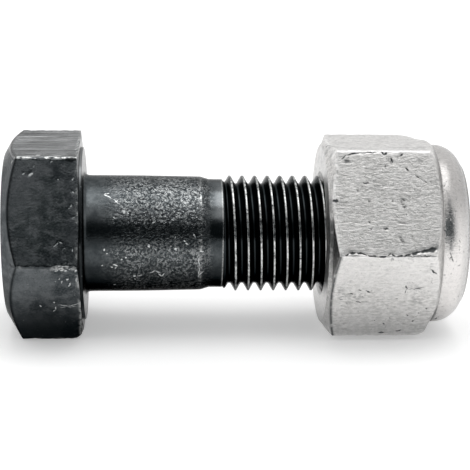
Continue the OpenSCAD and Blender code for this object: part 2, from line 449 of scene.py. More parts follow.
def share_of(grid, marks, widen=1.0):
    """How strongly the marks cover each point of a grid, from 0 to 1."""
    cover = np.zeros(grid.shape[:-1])
    for start, end, first, last in marks:
        a, b = np.array(start), np.array(end)
        along = np.clip((grid - a) @ (b - a) / max((b - a) @ (b - a), 1e-9), 0, 1)
        gap = np.linalg.norm(grid - a - along[..., None] * (b - a), axis=-1)
        width = (first + (last - first) * along) * widen
        cover = np.maximum(cover, 1 - smooth_step(gap, 0.3 * width, 1.5 * width))
    return cover


def rounded_path(corners):
    """A path through (x, r, radius, spacing) corners, with an arc in place of each corner.
    The spacing is that of the points on the stretch that follows the corner."""
    arcs = []
    for i, (x, r, radius, _) in enumerate(corners):
        p = np.array([x, r])
        if i in (0, len(corners) - 1) or radius == 0:
            arcs.append([p])
            continue
        before = np.array(corners[i - 1][:2]) - p
        after = np.array(corners[i + 1][:2]) - p
        before /= np.linalg.norm(before)
        after /= np.linalg.norm(after)
        half = math.acos(np.clip(before @ after, -1, 1)) / 2
        first = p + before * radius / math.tan(half)
        last = p + after * radius / math.tan(half)
        centre = p + (before + after) / np.linalg.norm(before + after) * radius / math.sin(half)
        from_angle = math.atan2(*(first - centre)[::-1])
        to_angle = math.atan2(*(last - centre)[::-1])
        turn = (to_angle - from_angle + math.pi) % (2 * math.pi) - math.pi
        steps = max(3, int(abs(turn) / math.radians(ARC_STEP)))
        angles = from_angle + turn * np.linspace(0, 1, steps + 1)
        arcs.append([centre + radius * np.array([math.cos(a), math.sin(a)]) for a in angles])
    path = list(arcs[0])
    for i in range(1, len(corners)):
        start, stop = path[-1], arcs[i][0]
        steps = max(1, round(np.linalg.norm(stop - start) / corners[i - 1][3]))
        path += [start + (stop - start) * t for t in np.linspace(0, 1, steps + 1)[1:]]
        path += arcs[i][1:]
    return np.array(path)


# Degrees from a corner at which there are points: beside it, over a plain flat, over one that shows
CLOSE = [0, 0.28, 0.56, 0.85, 1.15, 1.6, 2.3]
FAR = [3.3, 4.7, 6.5, 8.7, 11.2, 13.9, 16.7, 19.5, 22.2, 24.9, 27.5, 30]
NEAR = [3.1 + 0.815 * i for i in range(34)]


def hexagon_columns(turn):
    """Angles round the axis, close together at the corners and on the two flats that show most."""
    angles = []
    for k in range(6):
        for side in (-1, 1):
            shown = (k, side) in ((2, 1), (3, -1), (3, 1), (4, -1))
            angles += [turn + 60 * k + side * d for d in CLOSE + (NEAR if shown else FAR)]
    return np.radians(np.unique(np.round(np.array(angles) % 360, 4)))


def from_corner(angles, turn):
    """Degrees from the nearest corner of the hexagon."""
    return np.abs((np.degrees(angles) - turn + 30) % 60 - 30)


def from_angle(angles, middle):
    """Degrees from one angle."""
    return (np.degrees(angles) - middle + 180) % 360 - 180


def hexagon_radius(angles, turn, rounding):
    """Radius of a hexagon with rounded corners."""
    d = np.radians(from_corner(angles, turn))
    flat = APOTHEM / np.cos(math.radians(30) - d)
    c = CORNER - rounding / math.cos(math.radians(30))
    inside = rounding**2 - (c * np.sin(d)) ** 2
    arc = c * np.cos(d) + np.sqrt(np.clip(inside, 0, None))
    reach = math.atan(rounding * 0.5 / (c + rounding * math.cos(math.radians(30))))
    return np.where(d <= reach, arc, flat)


def corner_level(angles, turn, levels):
    """The level of the nearest corner, for six levels from the first corner on."""
    index = np.round((np.degrees(angles) - turn) / 60).astype(int) % 6
    return np.array(levels)[index]


def laid(x, r, a):
    """Points at place x along the bolt, radius r and angle a round it."""
    x, r, a = np.broadcast_arrays(x, r, a)
    return np.stack([x, r * np.cos(a), r * np.sin(a)], -1)


class HexForm:
    """A turned outline cut to a hexagon: the places x, radii r and angles a of its points, which of
    them lie on the hexagon, its own radius there, and how far round the nearest corner is."""

    def __init__(self, path, turn, corner_round, chamfer_round, ends, inner):
        self.x, r, self.a = np.broadcast_arrays(path[:, :1], path[:, 1:], hexagon_columns(turn)[None, :])
        self.hexed = hexagon_radius(self.a, turn, corner_round)
        self.on_hexagon = (self.x < ends) & (r > inner)
        self.r = np.where(self.on_hexagon, smooth_min(r, self.hexed, chamfer_round), r)
        self.corner = from_corner(self.a, turn) * self.r * math.pi / 180
        self.grid = laid(self.x, self.r, self.a)

    def noise(self, scale, seed):
        return value_noise(self.grid, scale, seed)


class Surface:
    """Gathers grids of points and their faces in one mesh, with painted masks."""

    MASKS = ("wear", "grime", "polish")

    def __init__(self):
        self.points = []
        self.faces = []
        self.paint = {mask: [] for mask in self.MASKS}

    def add_points(self, points, paint=None):
        start = sum(len(p) for p in self.points)
        self.points.append(points)
        for mask in self.MASKS:
            values = np.asarray((paint or {}).get(mask, 0.0)).reshape(-1)
            self.paint[mask].append(np.broadcast_to(values, points.shape[:1]))
        return start

    def rings(self, grid, paint=None, capped=False):
        """A grid of rows x columns points, closed round the columns."""
        rows, cols, _ = grid.shape
        s = self.add_points(grid.reshape(-1, 3), paint)
        i, j = np.meshgrid(np.arange(rows - 1), np.arange(cols), indexing="ij")
        k = (j + 1) % cols
        low, high = s + i * cols, s + (i + 1) * cols
        self.faces += np.stack([low + j, low + k, high + k, high + j], -1).reshape(-1, 4).tolist()
        if capped:
            for row in (0, rows - 1):
                ring = s + row * cols + np.arange(cols)
                centre = self.add_points(grid[row].mean(0)[None, :])
                fan = [[centre, int(ring[(n + 1) % cols]), int(ring[n])] for n in range(cols)]
                self.faces += fan if row == 0 else [f[::-1] for f in fan]

    def strip(self, grid, paint, flip=False):
        """A helical strip of steps x offsets points, whose last offset meets the first one a turn on."""
        steps, per, _ = grid.shape
        s = self.add_points(grid.reshape(-1, 3), paint)
        i, j = np.meshgrid(np.arange(steps - 1), np.arange(per - 1), indexing="ij")
        a = s + i * per + j
        band = np.stack([a, a + per, a + per + 1, a + 1], -1).reshape(-1, 4)
        low = s + np.arange(steps - 1 - TURN_STEPS) * per + per - 1
        high = s + (np.arange(steps - 1 - TURN_STEPS) + TURN_STEPS) * per
        quads = np.vstack([band, np.stack([low, low + per, high + per, high], -1)])
        self.faces += (quads[:, ::-1] if flip else quads).tolist()

    def build(self, name, material):
        mesh = bpy.data.meshes.new(name)
        mesh.from_pydata((np.vstack(self.points) * MM).tolist(), [], self.faces)
        for mask in self.MASKS:
            values = np.concatenate(self.paint[mask]).astype(np.float32)
            mesh.attributes.new(mask, "FLOAT", "POINT").data.foreach_set("value", values)
        # points that fall together are joined, so no face is left without an area
        work = bmesh.new()
        work.from_mesh(mesh)
        bmesh.ops.remove_doubles(work, verts=work.verts, dist=WELD * MM)
        bmesh.ops.dissolve_degenerate(work, dist=WELD * MM, edges=work.edges)
        bare_edges = [edge for edge in work.edges if not edge.link_faces]
        bmesh.ops.delete(work, geom=bare_edges, context="EDGES")
        bare_points = [point for point in work.verts if not point.link_faces]
        bmesh.ops.delete(work, geom=bare_points, context="VERTS")
        work.to_mesh(mesh)
        work.free()
        mesh.polygons.foreach_set("use_smooth", [True] * len(mesh.polygons))
        mesh.update()
        piece = bpy.data.objects.new(name, mesh)
        bpy.context.scene.collection.objects.link(piece)
        mesh.materials.append(material)
        return piece


def thread_profile(crest):
    """(offset along the axis, radius) of one pitch: a narrow crest, 60 degree flanks, a round root."""
    count = 240
    fine = np.linspace(-0.5, 0.5, count + 1)[:-1] * PITCH
    depth = (np.abs(fine) - CREST_W / 2) / FLANK_LEAN
    apex = (PITCH / 2 - CREST_W / 2) / FLANK_LEAN
    from_root = PITCH / 2 - np.abs(fine)
    root = apex - 2 * ROOT_ROUND + np.sqrt(np.clip(ROOT_ROUND**2 - from_root**2, 0, None))
    rounded = from_root < ROOT_ROUND * math.cos(math.radians(30))
    raw = crest - np.where(rounded, root, np.clip(depth, 0, None))
    kernel = np.hanning(11)[1:-1]
    soft = np.convolve(np.tile(raw, 3), kernel / kernel.sum(), "same")[count:2 * count]
    # the points that are kept, closest together over the crest
    picks = [0, 12, 22, 32, 50, 72, 94, 104, 111, 116, 120, 124, 129, 136, 146, 168, 190, 208, 218, 228]
    return fine[picks], soft[picks]


def thread_grid(first_x, last_x, crest):
    """Helix of the thread: place along X, angle and radius of each point."""
    offsets, radii = thread_profile(crest)
    base = THREAD_PHASE + PITCH * math.floor((first_x - THREAD_PHASE) / PITCH)
    steps = np.arange(TURN_STEPS * math.ceil((last_x - base) / PITCH) + 1)[:, None]
    x = base + PITCH * steps / TURN_STEPS + offsets
    return np.broadcast_arrays(x, 2 * math.pi * steps / TURN_STEPS, radii)


def bolt_outline():
    """Half section of the bolt without its thread, from the middle of the head's end."""
    return rounded_path([
        (HEAD_END, CENTRE_R, 0, 1.2),
        (HEAD_END, HEAD_END_R, 0.4, 0.11),
        (HEAD_END + (BEYOND - HEAD_END_R) * HEAD_SLOPE, BEYOND, 0, 0.13),
        (UNDERSIDE - (BEYOND - APOTHEM) * UNDER_SLOPE, BEYOND, 0, 0.08),
        (UNDERSIDE, APOTHEM, 0.1, 0.12),
        (UNDERSIDE, WASHER_R, 0.06, 0.08),
        (0.0, WASHER_R, 0.1, 0.25),
        (0.0, SHANK_R, FILLET, 0.35),
        (SHANK_MIDDLE, SHANK_R - 0.04, 0, 0.35),
        (SHANK_END, SHANK_END_R, 0.8, 0.14),
        (TAPER_END, NECK_R, 0.6, 0.15),
        (THREAD_START, NECK_R, 0.06, 0.1),
        (THREAD_START + 0.02, CORE_R, 0, 1.5),
        (THREAD_START + 0.02, CENTRE_R, 0, 1),
    ])


def bolt_paint(form, edge, band, fine):
    """Bright worn edges, the dark lines beside them, a painted shade on the taper, and the turned face
    under the head.
    """
    x, r, head = form.x, form.r, form.on_hexagon
    levels = corner_level(form.a, HEAD_TURN, HEAD_WEAR)
    lower_edge = levels == min(HEAD_WEAR)
    chamfer_x = HEAD_END + (form.hexed - HEAD_END_R) * HEAD_SLOPE
    chamfer = bell(x - chamfer_x, 0.14)
    under_x = UNDERSIDE - (form.hexed - APOTHEM) * UNDER_SLOPE
    under = bell(x - under_x + 0.1, 0.16)
    patch = form.noise(0.55, 4)
    wear = levels * edge * smooth_step(fine + 0.5 * patch, -0.15, 0.30)
    wear = np.maximum(wear, 0.25 * chamfer * smooth_step(patch, 0.1, 0.5))
    wear = np.maximum(wear, 0.5 * under * smooth_step(fine + patch, -0.1, 0.5))
    rubbed_corner = bell(x + 1.9, 1.6) * lower_edge
    wear = np.maximum(wear, rubbed_corner * band * smooth_step(fine, 0.0, 0.25))
    wear = np.where(head, wear, 0)
    neck_edge = bell(x - THREAD_START, 0.08) * (r > CORE_R)
    shoulder = bell(x - SHANK_END + 0.05, 0.09) * smooth_step(fine, -0.3, 0.3)
    wear = np.maximum(wear, np.maximum(0.8 * neck_edge, 0.45 * shoulder))
    # dark where the chamfer meets each flat and along the lower edge; on the taper a painted shade
    grime = np.maximum(1.1 * bell(x - chamfer_x - 0.1, 0.17), 0.8 * lower_edge * edge)
    # painted shade on the taper
    grime = np.where(head, grime, 0.5 * bell(x - (SHANK_END + TAPER_END) / 2, 0.4))
    polish = np.where((x > UNDERSIDE - 0.01) & (r > SHANK_R + 0.3), 1.0, 0.0)
    return {"wear": wear, "grime": grime, "polish": polish}


def bolt_body(surface):
    """Head, shank and neck, with dented corners, pressed nicks and a slightly uneven surface."""
    form = HexForm(bolt_outline(), HEAD_TURN, HEAD_CORNER_ROUND, HEAD_CHAMFER_ROUND,
                   UNDERSIDE - 0.005, HEAD_INNER_R)
    x, r, a, head = form.x, form.r, form.a, form.on_hexagon
    edge = bell(form.corner, 0.17) * (r > APOTHEM + 0.5)
    band = bell(form.corner, 0.34) * (r > APOTHEM + 0.3)
    fine = form.noise(2.4, 5)
    wave = form.noise(0.35, 9)
    dents = form.noise(1.1, 2)
    nicks = placed(HEAD_NICKS, on_flat, HEAD_FRONT) + placed(LOW_NICKS + EDGE_NICKS, on_flat, HEAD_LOW)
    inward = 0.02 * (0.5 + 0.5 * wave) + 0.12 * edge * np.clip(dents + 0.15, 0, 1)
    inward = inward + 0.05 * band * np.clip(fine, 0, 1) + 0.05 * share_of(form.grid, nicks)
    # the lowest corner is knocked round beside the washer face
    blunt = np.clip((x + 1.5) / 1.2, 0, 1) ** 2 * bell(from_angle(a, HEAD_TURN + 240), 9)
    r = np.where(head, r - inward - 0.75 * blunt, r)
    shank = (x > FILLET) & (x < THREAD_START - 0.2)
    r = np.where(shank, r - 0.012 * (0.5 + 0.5 * fine) - 0.015 * (0.5 + 0.5 * wave), r)
    # the head was forged a little out of square
    lean = np.where(x < FILLET, HEAD_LEAN, 0) * r * np.sin(a) * smooth_step(r, 5.0, 8.0)
    surface.rings(laid(x - lean, r, a), bolt_paint(form, edge, band, fine), capped=True)


def bolt_thread(surface):
    """The rolled thread, which grows out of the neck and ends in a bevel and a closed tip."""
    x, a, r = thread_grid(THREAD_START - PITCH, BOLT_END + TIP_SPAN + PITCH, CREST_R)
    crest = np.clip((r - CREST_R + 0.045) / 0.035, 0, 1)
    grown = smooth_step(x, THREAD_START - 0.05, THREAD_START + 0.6)
    r = NECK_R - 0.1 + (r - NECK_R + 0.1) * grown
    bevelled = TIP_R + np.clip(BOLT_END - x, 0, None)
    closed = TIP_R * (1 - (x - BOLT_END) / TIP_SPAN)
    r = np.clip(np.minimum(r, np.where(x < BOLT_END, bevelled, closed)), 0.0, None)
    x = np.minimum(x, BOLT_END)
    surface.strip(laid(x, r, a), {"wear": crest * grown * (r > TIP_R + 0.9)})


def bolt_surface():
    surface = Surface()
    bolt_body(surface)
    bolt_thread(surface)
    return surface


def nut_outline():
    """Half section of the nut without its thread, from its bearing face round to the ring's seat."""
    path = rounded_path([
        (NUT_X, SINK_R, 0, 0.35),
        (NUT_X, BEARING_R, 0.12, 0.08),
        (NUT_X + CHAMFER_H, APOTHEM, 0.08, 0.08),
        (NUT_X + CHAMFER_H + (BEYOND - APOTHEM) * CHAMFER_SLOPE, BEYOND, 0, 0.14),
        (NUT_X + HEX_H - (BEYOND - APOTHEM) * SHOULDER_SLOPE, BEYOND, 0, 0.09),
        (NUT_X + HEX_H, APOTHEM, 0.1, 0.09),
        (COLLAR_X, COLLAR_R, 0.15, 0.14),
        (NUT_END - COLLAR_ROUND, COLLAR_R, 0, 0.14),
        (NUT_END, COLLAR_R - 0.3, 0, 0.16),
        (NUT_END, MOUTH_R, 0.35, 0.12),
        (NUT_END - LIP_H, MOUTH_R, 0.05, 0.2),
        (NUT_END - LIP_H, SEAT_R - SEAT_BEVEL, 0.05, 0.2),
        (NUT_END - LIP_H - SEAT_BEVEL, SEAT_R, 0, 0.3),
        (SEAT_FLOOR, SEAT_R, 0, 0.6),
        (SEAT_FLOOR, CREST_R + THREAD_GAP - 0.1, 0, 1),
    ])
    # the rolled edge of the collar: beyond its centre the outline follows an arc
    centre = np.array([NUT_END - COLLAR_ROUND, COLLAR_R - COLLAR_ROUND])
    rolled = (path[:, 0] > centre[0]) & (path[:, 1] > MOUTH_R + 0.36)
    arm = path[rolled] - centre
    path[rolled] = centre + arm / np.linalg.norm(arm, axis=1, keepdims=True) * COLLAR_ROUND
    return path


def nut_paint(form, edge, fine, dents):
    """Bright worn edges, and dark lines beside both ends of the hexagon."""
    x, r, a = form.x, form.r, form.a
    chamfer_x = NUT_X + CHAMFER_H + (form.hexed - APOTHEM) * CHAMFER_SLOPE
    lower = np.abs(from_angle(a, NUT_LOW)) < 30
    rim = bell(x - chamfer_x - 0.22, 0.26) * smooth_step(fine, -0.5, 0.1) * np.where(lower, 0.2, 1.0)
    worn_corners = corner_level(a, NUT_TURN, NUT_WEAR) * edge
    wear = np.where(form.on_hexagon, np.maximum(worn_corners, rim), 0)
    serrated = bell(x - chamfer_x - 0.4, 0.07) * smooth_step(fine, 0.0, 0.3)
    under_line = 1.3 * bell(x - chamfer_x - 0.1, 0.17) * smooth_step(fine, -0.9, -0.1)
    serrated = np.where(lower, under_line, 0.6 * serrated)
    # the chamfer is darker beside the front corner
    dark_chamfer = bell(from_angle(a, NUT_TURN + 171), 20) * smooth_step(fine + dents, -1.0, -0.2)
    dark_chamfer = 1.2 * dark_chamfer * (r > BEARING_R - 0.4) * (x < chamfer_x - 0.02)
    grime = np.maximum(np.maximum(serrated, dark_chamfer), 0.4 * bell(x - NUT_X - HEX_H, 0.12))
    grime = np.where(form.on_hexagon, grime, 0)
    grime = np.maximum(grime, 0.5 * bell(x - COLLAR_X + 0.1, 0.14) * (r > COLLAR_R - 0.4))
    return {"wear": wear, "grime": grime}


def nut_body(surface):
    """Hexagon, shoulder and collar, with dented corners and the pressed marks."""
    form = HexForm(nut_outline(), NUT_TURN, NUT_CORNER_ROUND, NUT_CHAMFER_ROUND,
                   COLLAR_X - 0.02, NUT_INNER_R)
    x, r, a = form.x, form.r, form.a
    edge = bell(form.corner, 0.3) * (r > APOTHEM + 0.4)
    fine = form.noise(2.2, 15)
    wave = form.noise(0.3, 19)
    dents = form.noise(0.9, 12)
    pressed = placed(NUT_NICKS, on_flat, NUT_FRONT) + placed(LOW_DASHES, on_flat, NUT_LOW)
    pressed += placed(COLLAR_NICKS, on_round, COLLAR_R)
    inward = 0.03 * (0.5 + 0.5 * wave) + 0.08 * edge * np.clip(dents + 0.1, 0, 1)
    inward = inward + 0.03 * edge * np.clip(fine, 0, 1)
    inward = inward + 0.14 * share_of(form.grid, placed(FOLD, on_flat, NUT_FRONT))
    inward = inward + 0.06 * share_of(form.grid, pressed)
    inward = inward + 0.03 * share_of(form.grid, placed(SPOTS, on_flat, NUT_FRONT), 1.3)
    outside = (r > SEAT_R) & (x > NUT_X + 0.05)
    r = np.where(outside, r - inward, r)
    # two corners slope off sooner towards the collar
    for corner_angle, begin in ((60, 9.6), (240, 10.2)):
        blunt = np.clip((x - NUT_X - begin) / (HEX_H - begin), 0, 1) ** 2
        near_corner = bell(from_angle(a, NUT_TURN + corner_angle), 12)
        r = np.where(form.on_hexagon, r - 0.8 * blunt * near_corner, r)
    surface.rings(laid(x, r, a), nut_paint(form, edge, fine, dents))


def nut_thread(surface):
    """The nut's thread, a little clear of the bolt's, with a countersink at its mouth."""
    x, a, r = thread_grid(NUT_X - PITCH, SEAT_FLOOR + PITCH, CREST_R + THREAD_GAP)
    sink = SINK_R - np.clip(x - NUT_X, 0, None) * SINK_SLOPE
    r = np.maximum(r, np.where(x < NUT_X + SINK_DEPTH, sink, 0))
    # past the seat the thread ends on its widest circle, so that nothing closes the bore
    r = np.where(x > SEAT_FLOOR, CREST_R + THREAD_GAP, r)
    surface.strip(laid(np.clip(x, NUT_X, SEAT_FLOOR), r, a), {"grime": 0.5}, flip=True)


def nut_surface():
    surface = Surface()
    nut_body(surface)
    nut_thread(surface)
    return surface


def ring_surface():
    surface = Surface()
    low = SEAT_FLOOR + 0.05
    high = low + RING_H
    seam = low + 0.9
    path = rounded_path([
        (seam, RING_BORE_R, 0, 0.2),
        (low, RING_BORE_R, 0.3, 0.4),
        (low, RING_R, 0.1, 0.4),
        (high - RING_BEVEL, RING_R, 0.2, 0.25),
        (high, RING_R - RING_BEVEL, 0.2, 0.2),
        (high, RING_BORE_R, 0.35, 0.3),
        (seam, RING_BORE_R, 0, 1),
    ])
    angles = np.linspace(0, 2 * math.pi, RING_COLUMNS + 1)[:-1]
    surface.rings(laid(path[:, :1], path[:, 1:], angles[None, :]))
    return surface


# Materials

class Graph:
    """The nodes of a material or world, made by short calls."""

    def __init__(self, owner):
        owner.use_nodes = True
        self.owner = owner
        self.tree = owner.node_tree
        self.tree.nodes.clear()

    def put(self, socket, value):
        if isinstance(value, bpy.types.NodeSocket):
            self.tree.links.new(value, socket)
        elif isinstance(value, (tuple, list)) and len(value) == 3 and socket.type == "RGBA":
            socket.default_value = (*value, 1)
        else:
            socket.default_value = value

    def node(self, kind, inputs=None, out=0, **settings):
        made = self.tree.nodes.new("ShaderNode" + kind)
        for key, value in settings.items():
            setattr(made, key, value)
        for key, value in (inputs or {}).items():
            self.put(made.inputs[key], value)
        return made if out is None else made.outputs[out]

    def place(self):
        """Object coordinates in millimetres."""
        spot = self.node("TexCoord", out=3)
        return self.node("VectorMath", {0: spot, "Scale": 1 / MM}, operation="SCALE")

    def mask(self, name):
        return self.node("Attribute", out=2, attribute_name=name)

    def add(self, a, b):
        return self.node("Math", {0: a, 1: b}, operation="ADD")

    def take(self, a, b):
        return self.node("Math", {0: a, 1: b}, operation="SUBTRACT")

    def times(self, a, b):
        return self.node("Math", {0: a, 1: b}, operation="MULTIPLY")

    def most(self, a, b):
        return self.node("Math", {0: a, 1: b}, operation="MAXIMUM")

    def least(self, a, b):
        return self.node("Math", {0: a, 1: b}, operation="MINIMUM")

    def size(self, a):
        return self.node("Math", {0: a}, operation="ABSOLUTE")

    def ramp(self, value, low, high, to_low=0.0, to_high=1.0):
        inputs = {0: value, 1: low, 2: high, 3: to_low, 4: to_high}
        return self.node("MapRange", inputs, interpolation_type="SMOOTHSTEP")

    def mix(self, share, a, b):
        return self.node("Mix", {0: share, 6: a, 7: b}, 2, data_type="RGBA")

    def noise(self, where, scale, detail, rough, stretch=None, warp=0.0):
        if stretch:
            where = self.node("VectorMath", {0: where, 1: stretch}, operation="MULTIPLY")
        inputs = {"Vector": where, "Scale": scale, "Detail": detail, "Roughness": rough, "Distortion": warp}
        return self.node("TexNoise", inputs)

    def near_flat(self, where, middle):
        """1 on the one flat of a hexagon whose middle is at this angle."""
        angle = math.radians(middle)
        inputs = {0: where, 1: (0, math.cos(angle), math.sin(angle))}
        level = self.node("VectorMath", inputs, 1, operation="DOT_PRODUCT")
        return self.ramp(level, APOTHEM - 0.35, APOTHEM - 0.15)

    def strokes(self, where, scale, width, warp):
        """Thin curved lines: the places where a noise passes its middle value."""
        level = self.noise(where, scale, 1, 0.5, warp=warp)
        return self.ramp(self.size(self.take(level, 0.5)), width, 0.0)

    def marks(self, where, marks):
        """How near each point is to the closest mark: 1 on the outline of its slim ellipsoid."""
        nearest = None
        sway = self.node("TexNoise", {"Vector": where, "Scale": 2.2, "Detail": 1.0}, 1)
        sway = self.node("VectorMath", {0: sway, 1: (0.5, 0.5, 0.5)}, operation="SUBTRACT")
        sway = self.node("VectorMath", {0: sway, "Scale": SWAY}, operation="SCALE")
        where = self.node("VectorMath", {0: where, 1: sway}, operation="ADD")
        for i, (start, end, first, last) in enumerate(marks):
            if i and i % BATCH == 0:
                # points on an earlier mark leave, so each batch waits for the one before it
                away = self.ramp(nearest, 1.5, 1.4, 0.0, OUT_OF_REACH)
                where = self.node("VectorMath", {0: where, 1: away}, operation="ADD")
            middle = (start + end) / 2
            run = end - start
            width = (first + last) / 2
            outward = Vector((0, middle.y, middle.z)).normalized()
            along = run.normalized()
            across = outward.cross(along).normalized()
            turn = Matrix((along, across, along.cross(across))).transposed().to_euler()
            size = (run.length / 2 + 0.6 * width, 1.15 * width, MARK_DEPTH)
            inputs = {0: where, "Location": middle, "Rotation": turn, "Scale": size}
            spot = self.node("Mapping", inputs, vector_type="TEXTURE")
            away = self.node("VectorMath", {0: spot}, 1, operation="LENGTH")
            nearest = away if nearest is None else self.least(nearest, away)
        return nearest

    def finish(self, colour, metallic, roughness, height, relief, strength, rim=(1, 1, 1)):
        """The material, with relief given in millimetres and the rim as the tint of its edges."""
        bump = self.node("Bump", {"Height": height, "Distance": relief * MM, "Strength": strength})
        inputs = {"Base Color": colour, "Metallic": metallic, "Roughness": roughness, "Normal": bump}
        inputs["Specular Tint"] = rim
        shader = self.node("BsdfPrincipled", inputs)
        self.node("OutputMaterial", {"Surface": shader}, None)
        return self.owner


def bolt_marks(g, where):
    """How strongly the nicks and the dark lines show."""
    nicks = g.marks(where, placed(HEAD_NICKS, on_flat, HEAD_FRONT)
                    + placed(TOP_NICKS, on_flat, HEAD_TOP)
                    + placed(LOW_NICKS + EDGE_NICKS, on_flat, HEAD_LOW)
                    + placed(SHANK_NICKS, on_round, SHANK_R - 0.05)
                    + placed(CREST_DOTS, on_round, CREST_R))
    dark = g.marks(where, placed(TOP_LINES, on_flat, HEAD_TOP)
                   + placed(EDGE_FACET, on_flat, HEAD_FRONT)
                   + placed(SHANK_DASHES, on_round, SHANK_R - 0.04))
    return g.ramp(nicks, 1.15, 0.7), g.ramp(dark, 1.15, 0.7)


def head_black(g, where, mottle, grain):
    """The head's black finish, clouded and speckled."""
    cloud = g.noise(where, 0.22, 3, 0.55)
    head = g.mix(g.ramp(cloud, 0.38, 0.62), (0.038, 0.045, 0.049), (0.108, 0.118, 0.124))
    head = g.mix(g.times(g.ramp(mottle, 0.44, 0.66), 0.8), head, (0.155, 0.165, 0.171))
    head = g.mix(g.times(g.ramp(grain, 0.48, 0.70), 0.55), head, (0.16, 0.17, 0.175))
    return g.mix(g.times(g.ramp(grain, 0.46, 0.30), 0.6), head, (0.012, 0.015, 0.017))


def lightened(g, head, x, on_head, top_flat):
    """The head's colour, lighter on its chamfer and towards its end, and lighter along its top flat as a
    painted reflection.
    """
    facing = g.node("SeparateXYZ", {0: g.node("TexCoord", out=1)})
    chamfer = g.times(on_head, g.ramp(facing, -0.25, -0.5))
    head = g.mix(g.times(chamfer, 0.2), head, (0.15, 0.16, 0.165))
    end = g.times(g.ramp(x, -4.0, -7.0), g.ramp(x, -8.6, -8.0))
    head = g.mix(g.times(end, 0.2), head, (0.16, 0.17, 0.178))
    # painted reflection: the top flat is lighter
    return g.mix(g.times(top_flat, 0.6), head, (0.17, 0.178, 0.182))


def shank_black(g, x, z, middle, mottle):
    """The shank's black finish, with a painted dark reflection along its middle and a painted highlight on
    the upper side of the neck.
    """
    shank = g.mix(g.ramp(mottle, 0.3, 0.7), (0.045, 0.052, 0.056), (0.100, 0.110, 0.115))
    # painted highlight on the upper side of the neck
    neck_highlight = g.times(g.ramp(x, TAPER_END, THREAD_START - 0.3), g.ramp(g.size(g.take(z, 4.6)), 2.6, 0.8))
    shank = g.mix(g.times(neck_highlight, 0.5), shank, (0.29, 0.305, 0.315))
    # painted reflection: a dark band along the shank's middle, near z 1.3
    return g.mix(g.ramp(middle, 0.8, 2.3, 0.7, 0.0), shank, (0.016, 0.020, 0.022))


def rubbed_strokes(g, where, dense, on_shank, middle):
    """Fine strokes where the black is rubbed off, fewer along the painted dark reflection on the shank's
    middle.
    """
    patchy = g.ramp(g.noise(where, 0.45, 3, 0.6), 0.66, 0.36, 0.35, 1.0)
    broken = g.ramp(g.noise(where, 3.2, 2, 0.6), 0.46, 0.54)
    worms = g.most(g.strokes(where, 5.6, 0.040, 0.5), g.strokes(where, 9.0, 0.056, 0.3))
    rubbed = g.times(g.times(worms, broken), g.times(dense, patchy))
    return g.times(rubbed, g.times(on_shank, g.ramp(middle, 0.6, 1.9, 0.3, 1.0)))


